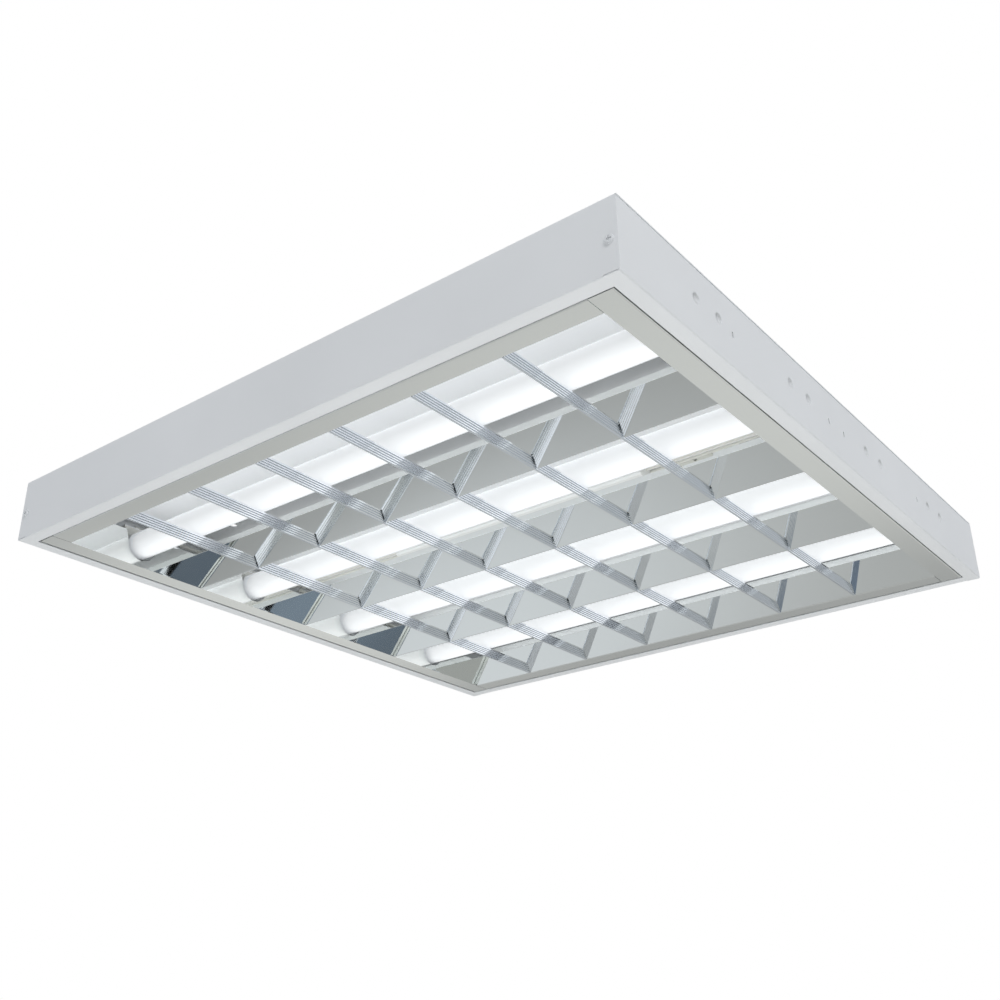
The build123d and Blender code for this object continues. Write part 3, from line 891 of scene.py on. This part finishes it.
@dataclass
class Lampholders:
    """The moulded lampholders, their rotors, and the brackets that carry them."""

    count: int = 4

    def dress(self, frame: Frame, finishes: Finishes) -> None:
        """Finishes every holder, rotor and bracket.

        Args:
            frame: The loaded frame.
            finishes: The finishes.
        """
        for end in ("near", "far"):
            numbers = range(1, self.count + 1)
            finish_nodes(frame, [f"lampholder_{n}_{end}" for n in numbers], finishes.holder)
            finish_nodes(frame, [f"rotor_{n}_{end}" for n in numbers], finishes.rotor)
            finish_nodes(frame, [f"lampholder_brackets_{end}"], finishes.white_steel)


@dataclass
class Louvre:
    """The mirror louvre: border strips, end plates, V reflectors and ribbed cross blades."""

    clear_half: float = 278.2 * MM
    base: float = BLADE_BASE
    blade_count: int = 6
    blade_height: float = BLADE_HEIGHT
    blade_foot: float = 0.8 * MM
    blade_crest: float = 1.0 * MM
    end_clearance: float = 0.15 * MM
    slope: float = 16.2 / 28.1
    ribs: int = BLADE_RIBS
    rib_depth: float = 0.60 * MM
    rib_rise: float = 0.05
    rib_bend: float = 1.1
    rib_points: int = 8

    @property
    def blade_places(self) -> np.ndarray:
        """The blades' X, evenly spaced between the border strips."""
        cell = 2 * self.clear_half / (self.blade_count + 1)
        return (np.arange(self.blade_count) - (self.blade_count - 1) / 2) * cell

    def blade(self, number: int, x: float) -> Object:
        """Makes one cross blade.

        A point is s of the way up the blade and t of the way along it. Its height is the base plus
        s times the blade's height. Its half width goes evenly from the foot's to the crest's, plus
        the rib depth times a saw's tooth: it rises steeply over the first part of the rib, then
        falls as 1 less q to a power a little over 1, where q is how far up the rest it lies. Its Y
        is t times the blade's half length there, which shrinks upwards as the reflector slopes in.

        Args:
            number: The blade's number, from the far end.
            x: The blade's place.

        Returns:
            The blade.
        """
        steps = np.linspace(self.rib_rise, 1, self.rib_points, endpoint=False)
        p = np.tile(np.concatenate([[0.0], steps]), self.ribs)
        s = (np.repeat(np.arange(self.ribs), self.rib_points + 1) + p) / self.ribs
        p, s = np.append(p, 1.0), np.append(s, 1.0)
        q = np.clip((p - self.rib_rise) / (1 - self.rib_rise), 0, 1)
        tooth = np.minimum(p / self.rib_rise, 1 - q**self.rib_bend)
        half = (self.blade_foot + (self.blade_crest - self.blade_foot) * s) / 2
        half = half + self.rib_depth * tooth
        side = np.stack([half, self.base + s * self.blade_height], axis=-1)
        loop = np.concatenate([side, side[::-1] * (-1.0, 1.0)])
        reach = self.clear_half - self.end_clearance - (loop[:, 1] - self.base) * self.slope
        t = np.array([-1.0, 1.0])[:, None]
        points = np.stack(np.broadcast_arrays(x + loop[:, 0], t * reach, loop[:, 1]), axis=-1)
        return make_piece(f"louvre_blade_{number}_ribbed", [Surface(points, filled=True)],
                          Body.LOUVRE.value, [f"louvre_blade_{number}"], crease=50.0)

    def dress(self, frame: Frame, finishes: Finishes) -> None:
        """Builds the blades and finishes the whole louvre.

        Args:
            frame: The loaded frame.
            finishes: The finishes.
        """
        finish_nodes(frame, ["louvre_hinge_strip", "louvre_catch_strip"], finishes.mirror_x)
        finish_nodes(frame, [f"louvre_reflector_{n}" for n in (1, 2, 3)], finishes.mirror_x)
        for end in ("near", "far"):
            finish_nodes(frame, [f"louvre_end_strip_{end}", f"louvre_end_plates_{end}"], finishes.mirror_y)
        for number, x in enumerate(self.blade_places.tolist(), start=1):
            self.blade(number, x).data.materials.append(finishes.ribbed)
        finish_nodes(frame, ["louvre_hinge_clips", "louvre_catches"], finishes.spring)


@dataclass
class ControlGear:
    """The ballast, the mains terminal block, the earth screw, the grommet and the wires."""

    ceiling: float = 55.7 * MM
    top: float = 56.5 * MM
    ballast_screw_x: float = 145.0 * MM
    ear_sheet: float = 1.5 * MM
    earth_place: tuple[float, float] = (216.0 * MM, -12.0 * MM)
    lug_sheet: float = 0.8 * MM
    gear_screw_radius: float = 3.5 * MM
    gear_screw_height: float = 2.0 * MM
    terminal_place: tuple[float, float] = (185.0 * MM, -27.0 * MM)
    terminal_height: float = 14.0 * MM
    terminal_pitch: float = 16.0 / 3 * MM
    clamp_radius: float = 1.5 * MM
    clamp_sink: float = 0.7 * MM
    clamp_head: float = 0.9 * MM
    clamp_shank: float = 0.9 * MM
    grommet_place: tuple[float, float] = (235.0 * MM, -27.0 * MM)
    grommet_bore: float = 5.0 * MM
    grommet_neck: float = 8.9 * MM
    grommet_flange: float = 12.0 * MM
    grommet_lip: float = 1.5 * MM
    grommet_edge: float = 0.7 * MM

    def screws(self, name: str, node: str, places: Sequence[tuple[float, float]], sheet: float) -> Object:
        """Makes screws driven upwards under a sheet.

        Args:
            name: The piece's name.
            node: The CAD node that it stands for.
            places: Each screw's X and Y.
            sheet: How thick the sheet under the ceiling is.

        Returns:
            The screws as one piece.
        """
        seat = self.ceiling - sheet
        screw = CrossHeadScrew(self.gear_screw_radius, self.gear_screw_height, shank_length=self.top - seat)
        return make_piece(name, [screw.surface((x, y, seat), (0.0, 0.0, -1.0)) for x, y in places],
                          Body.HOUSING.value, [node])

    def clamps(self) -> Object:
        """Makes the three clamp screws in the terminal block's wells.

        Returns:
            The clamp screws as one piece.
        """
        head = self.clamp_head
        low = self.ceiling - self.terminal_height + self.clamp_sink
        screw = CrossHeadScrew(
            self.clamp_radius, head, edge=0.2 * MM, shank_radius=self.clamp_shank, shank_length=0.2 * MM,
            arm_length=1.0 * MM, arm_width=0.3 * MM, recess=0.5 * MM, segments=32)
        x, y = self.terminal_place
        return make_piece("terminal_clamp_screws", [
            screw.surface((x, y + way * self.terminal_pitch, low + head), (0.0, 0.0, -1.0))
            for way in (-1, 0, 1)], Body.HOUSING.value, ())

    def grommet(self) -> Object:
        """Makes the grommet: a ring whose two lips are rounded by quarter arcs.

        Returns:
            The grommet.
        """
        low, high = self.ceiling - self.grommet_lip, self.top + self.grommet_lip
        soft = self.grommet_edge
        lower = np.concatenate([
            corner_arc(low + soft, self.grommet_bore + soft, soft, 180),
            corner_arc(low + soft, self.grommet_flange - soft, soft, 90)[::-1],
            [(self.ceiling, self.grommet_flange), (self.ceiling, self.grommet_neck)]])
        upper = (lower * (-1.0, 1.0) + (low + high, 0.0))[::-1]
        return make_piece("cable_grommet_ring", [
            Surface(turned(np.concatenate([lower, upper]), (*self.grommet_place, 0.0), (0.0, 0.0, 1.0)),
                    wraps=True)],
            Body.HOUSING.value, ["cable_grommet"])

    def dress(self, frame: Frame, finishes: Finishes) -> None:
        """Builds the small pieces and finishes the gear.

        Args:
            frame: The loaded frame.
            finishes: The finishes.
        """
        finish_nodes(frame, ["ballast"], finishes.gear_case)
        finish_nodes(frame, ["terminal_block"], finishes.terminal)
        finish_nodes(frame, ["earth_wire"], finishes.earth_sleeve)
        finish_nodes(frame, ["mains_wires", "lamp_wires_near", "lamp_wires_far"], finishes.white_sleeve)
        ballast_places = [(-self.ballast_screw_x, 0.0), (self.ballast_screw_x, 0.0)]
        for piece in (self.screws("ballast_screw_heads", "ballast_screws", ballast_places, self.ear_sheet),
                      self.screws("earth_screw_head", "earth_screw", [self.earth_place], self.lug_sheet),
                      self.clamps()):
            piece.data.materials.append(finishes.screw)
        self.grommet().data.materials.append(finishes.rubber)


# ---- camera and studio --------------------------------------------------------------------------
@dataclass(frozen=True)
class PhotographCamera:
    """The camera, under the light and to one side, looking up at it."""

    position: tuple[float, float, float] = (0.60475, -0.79979, -0.41701)
    azimuth: float = 38.105
    elevation: float = -25.477
    roll: float = -0.458
    lens: float = 43.14

    def build(self) -> Object:
        """Makes the camera and sets it as the scene's.

        Its back axis points from the object to the camera at the azimuth and elevation; its right
        and up axes are turned about that by the roll.

        Returns:
            The camera.
        """
        a, e, r = (math.radians(v) for v in (self.azimuth, self.elevation, self.roll))
        back = Vector((math.sin(a) * math.cos(e), -math.cos(a) * math.cos(e), math.sin(e)))
        right = (-back).cross(Vector((0, 0, 1))).normalized()
        up = right.cross(-back)
        turned_right = math.cos(r) * right + math.sin(r) * up
        turned_up = math.cos(r) * up - math.sin(r) * right
        data = bpy.data.cameras.new("photograph_camera")
        data.lens, data.sensor_width = self.lens, 36.0
        data.clip_start, data.clip_end = 0.01, 100.0
        camera = bpy.data.objects.new("photograph_camera", data)
        axes = Matrix((turned_right, turned_up, back)).transposed().to_4x4()
        camera.matrix_world = Matrix.Translation(self.position) @ axes
        bpy.context.scene.collection.objects.link(camera)
        bpy.context.scene.camera = camera
        return camera


@dataclass(frozen=True)
class FloorPaint(Finish):
    """Matt floor paint that the camera sees paler than the mirrors do, as a lit sweep looks."""

    second: str = "#D2D2CE"
    mottle: float = 300 * MM
    lift: float = 0.34

    def detail(self, tree: NodeTree, shader: Node, place: NodeSocket) -> None:
        """Adds a slow mottle, takes off the gloss, and lifts the tone for camera rays.

        Args:
            tree: The material's nodes.
            shader: The shader that takes the detail.
            place: The Object coordinates.
        """
        mottle = noise(tree, place, self.mottle, 2.0)
        path = add_node(tree, "ShaderNodeLightPath")
        shader.inputs["Specular IOR Level"].default_value = 0.0
        shader.inputs["Emission Color"].default_value = linear("#FFFFFF")
        feed(tree, shader, {
            "Base Color": two_tone(tree, mottle, self.colour, self.second),
            "Emission Strength": arithmetic(tree, "MULTIPLY", path.outputs["Is Camera Ray"], self.lift)})


@dataclass(frozen=True)
class SoftLamp:
    """A soft lamp that the camera and the mirrors don't see: a disc, or a strip where it has a width."""

    name: str
    place: tuple[float, float, float]
    target: tuple[float, float, float]
    radiance: float
    size: float
    width: Optional[float] = None
    colour: str = "#FFFFFF"

    @classmethod
    def pool(cls, name: str, place: tuple[float, float, float], radiance: float, size: float,
             colour: str = "#FFFFFF") -> "SoftLamp":
        """A disc that faces straight down and lights a pool on the floor.

        Args:
            name: The lamp's name.
            place: Its place.
            radiance: Its radiance.
            size: Its diameter.
            colour: Its colour.

        Returns:
            The lamp's values.
        """
        return cls(name, place, (place[0], place[1], FLOOR_HEIGHT), radiance, size, colour=colour)

    def build(self) -> Object:
        """Makes the lamp; its power is pi times its area times its radiance.

        Returns:
            The lamp, facing its target, with a strip's length along X.
        """
        data = bpy.data.lights.new(self.name, "AREA")
        data.shape, data.size = ("DISK" if self.width is None else "RECTANGLE"), self.size
        area = math.pi * self.size**2 / 4
        if self.width is not None:
            data.size_y, area = self.width, self.size * self.width
        data.energy, data.color = math.pi * area * self.radiance, linear(self.colour)[:3]
        lamp = bpy.data.objects.new(self.name, data)
        facing = (Vector(self.target) - Vector(self.place)).to_track_quat("-Z", "Y")
        lamp.matrix_world = Matrix.Translation(self.place) @ facing.to_matrix().to_4x4()
        lamp.visible_camera = lamp.visible_glossy = False
        bpy.context.scene.collection.objects.link(lamp)
        return lamp


@dataclass(frozen=True)
class Studio:
    """A plain pale floor well under the light, a slate card beside it, and soft white light.

    The key softbox lights the body from above and one side, and the one below fills its underside.
    The others light pools on the floor and card, which give the mirrors something paler to show.
    """

    floor_height: float = FLOOR_HEIGHT
    floor_radius: float = 14.0
    floor_colour: str = "#D6D6D2"
    card_place: tuple[float, float] = (2.9, -2.75)
    card_radius: float = 1.3
    card_colour: str = "#6B7886"
    card_second: str = "#778492"
    card_lift: float = 10 * MM
    sky_colour: str = "#F7FAFF"
    ambient: float = 0.50
    glow_height: float = 38.5 * MM
    glow_radiance: float = 0.60
    glow_size: tuple[float, float] = (0.58, 20 * MM)
    lamps: tuple[SoftLamp, ...] = (
        SoftLamp("key_softbox", (1.9, -1.5, 1.5), (0.0, 0.0, 0.03), 6.8, 1.2),
        SoftLamp("under_softbox", (0.25, -0.35, -1.35), (0.25, -0.35, 0.0), 1.43, 1.6),
        SoftLamp.pool("floor_softbox_left", (-2.3, -1.7, -0.8), 0.82, 2.7, "#EAF2FF"),
        SoftLamp.pool("floor_softbox_back", (-1.1, 2.3, -0.7), 0.56, 2.8),
        SoftLamp.pool("floor_softbox_far", (-3.6, 2.8, -0.7), 0.75, 2.4),
        SoftLamp.pool("floor_softbox_front", (3.2, -6.8, 0.4), 1.1, 4.5),
        SoftLamp.pool("floor_softbox_right", (2.7, 3.3, -0.4), 0.9, 4.2),
        SoftLamp.pool("card_softbox", (2.6, -2.45, -1.05), 1.5, 0.85),
        SoftLamp("gear_glow", (0.0, 0.0, 36 * MM), (0.0, 0.0, 1.0), 0.60, 0.56, 38 * MM))

    def disc(self, name: str, place: tuple[float, float, float], radius: float, material: Material) -> Object:
        """Makes a flat round piece of the stage: rings of points at even steps from its middle.

        Args:
            name: The piece's name.
            place: Its middle.
            radius: Its radius.
            material: Its finish.

        Returns:
            The piece.
        """
        radii = np.linspace(0, radius, 8)
        rings = turned(np.stack([np.zeros_like(radii), radii], axis=-1), place, (0, 0, 1))
        mesh = bpy.data.meshes.new(name)
        mesh.from_pydata(rings.reshape(-1, 3).tolist(), [], Surface(rings).faces(0))
        mesh.materials.append(material)
        piece = bpy.data.objects.new(name, mesh)
        bpy.context.scene.collection.objects.link(piece)
        return piece

    def floor(self) -> None:
        """Makes the floor, and the dark card on it that only the mirrors see."""
        paint = FloorPaint("plain_painted_floor", self.floor_colour, 0.9).material()
        self.disc("studio_floor", (0.0, 0.0, self.floor_height), self.floor_radius, paint)
        felt = PowderCoat("slate_felt_card", self.card_colour, 0.95, second=self.card_second).material()
        place = (*self.card_place, self.floor_height + self.card_lift)
        card = self.disc("studio_card", place, self.card_radius, felt)
        card.visible_camera = card.visible_diffuse = card.visible_shadow = False

    def world(self) -> None:
        """Sets the world: white to the camera, to mirrors and through glass, softer as a light."""
        world = bpy.data.worlds.new("studio_light")
        bpy.context.scene.world = world
        world.use_nodes = True
        tree = world.node_tree
        tree.nodes.clear()
        path = add_node(tree, "ShaderNodeLightPath")
        camera = path.outputs["Is Camera Ray"]
        both = arithmetic(tree, "ADD", camera, path.outputs["Is Glossy Ray"])
        seen = arithmetic(tree, "ADD", both, path.outputs["Is Transmission Ray"], clamp=True)
        sky = add_node(tree, "ShaderNodeBackground", {
            "Color": two_tone(tree, camera, self.sky_colour, "#FFFFFF"),
            "Strength": ramp(tree, seen, goal=(self.ambient, 1.0))})
        add_node(tree, "ShaderNodeOutputWorld", {"Surface": sky.outputs["Background"]})

    def glow(self) -> list[SoftLamp]:
        """Works out the strips over the tubes that carry their light up to the tray's underside.

        Returns:
            One strip for each tube.
        """
        length, width = self.glow_size
        return [SoftLamp(f"tube_glow_{n}", (0.0, y, self.glow_height), (0.0, y, 1.0),
                         self.glow_radiance, length, width) for n, y in enumerate(LAMP_ROWS, start=1)]

    def build(self) -> None:
        """Makes the floor, the world and the lamps."""
        self.floor()
        self.world()
        for lamp in (*self.lamps, *self.glow()):
            lamp.build()


def main() -> None:
    """Loads the frame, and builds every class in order."""
    logging.basicConfig(level=logging.INFO, format="%(name)s: %(message)s")
    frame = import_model()
    bpy.context.scene.view_settings.view_transform = "Standard"
    PhotographCamera().build()
    Studio().build()
    finishes = Finishes()
    SteelBody().dress(frame, finishes)
    for number, y in enumerate(LAMP_ROWS, start=1):
        Lamp(number, y).dress(finishes)
    Lampholders().dress(frame, finishes)
    Louvre().dress(frame, finishes)
    ControlGear().dress(frame, finishes)


if __name__ == "__main__":
    main()
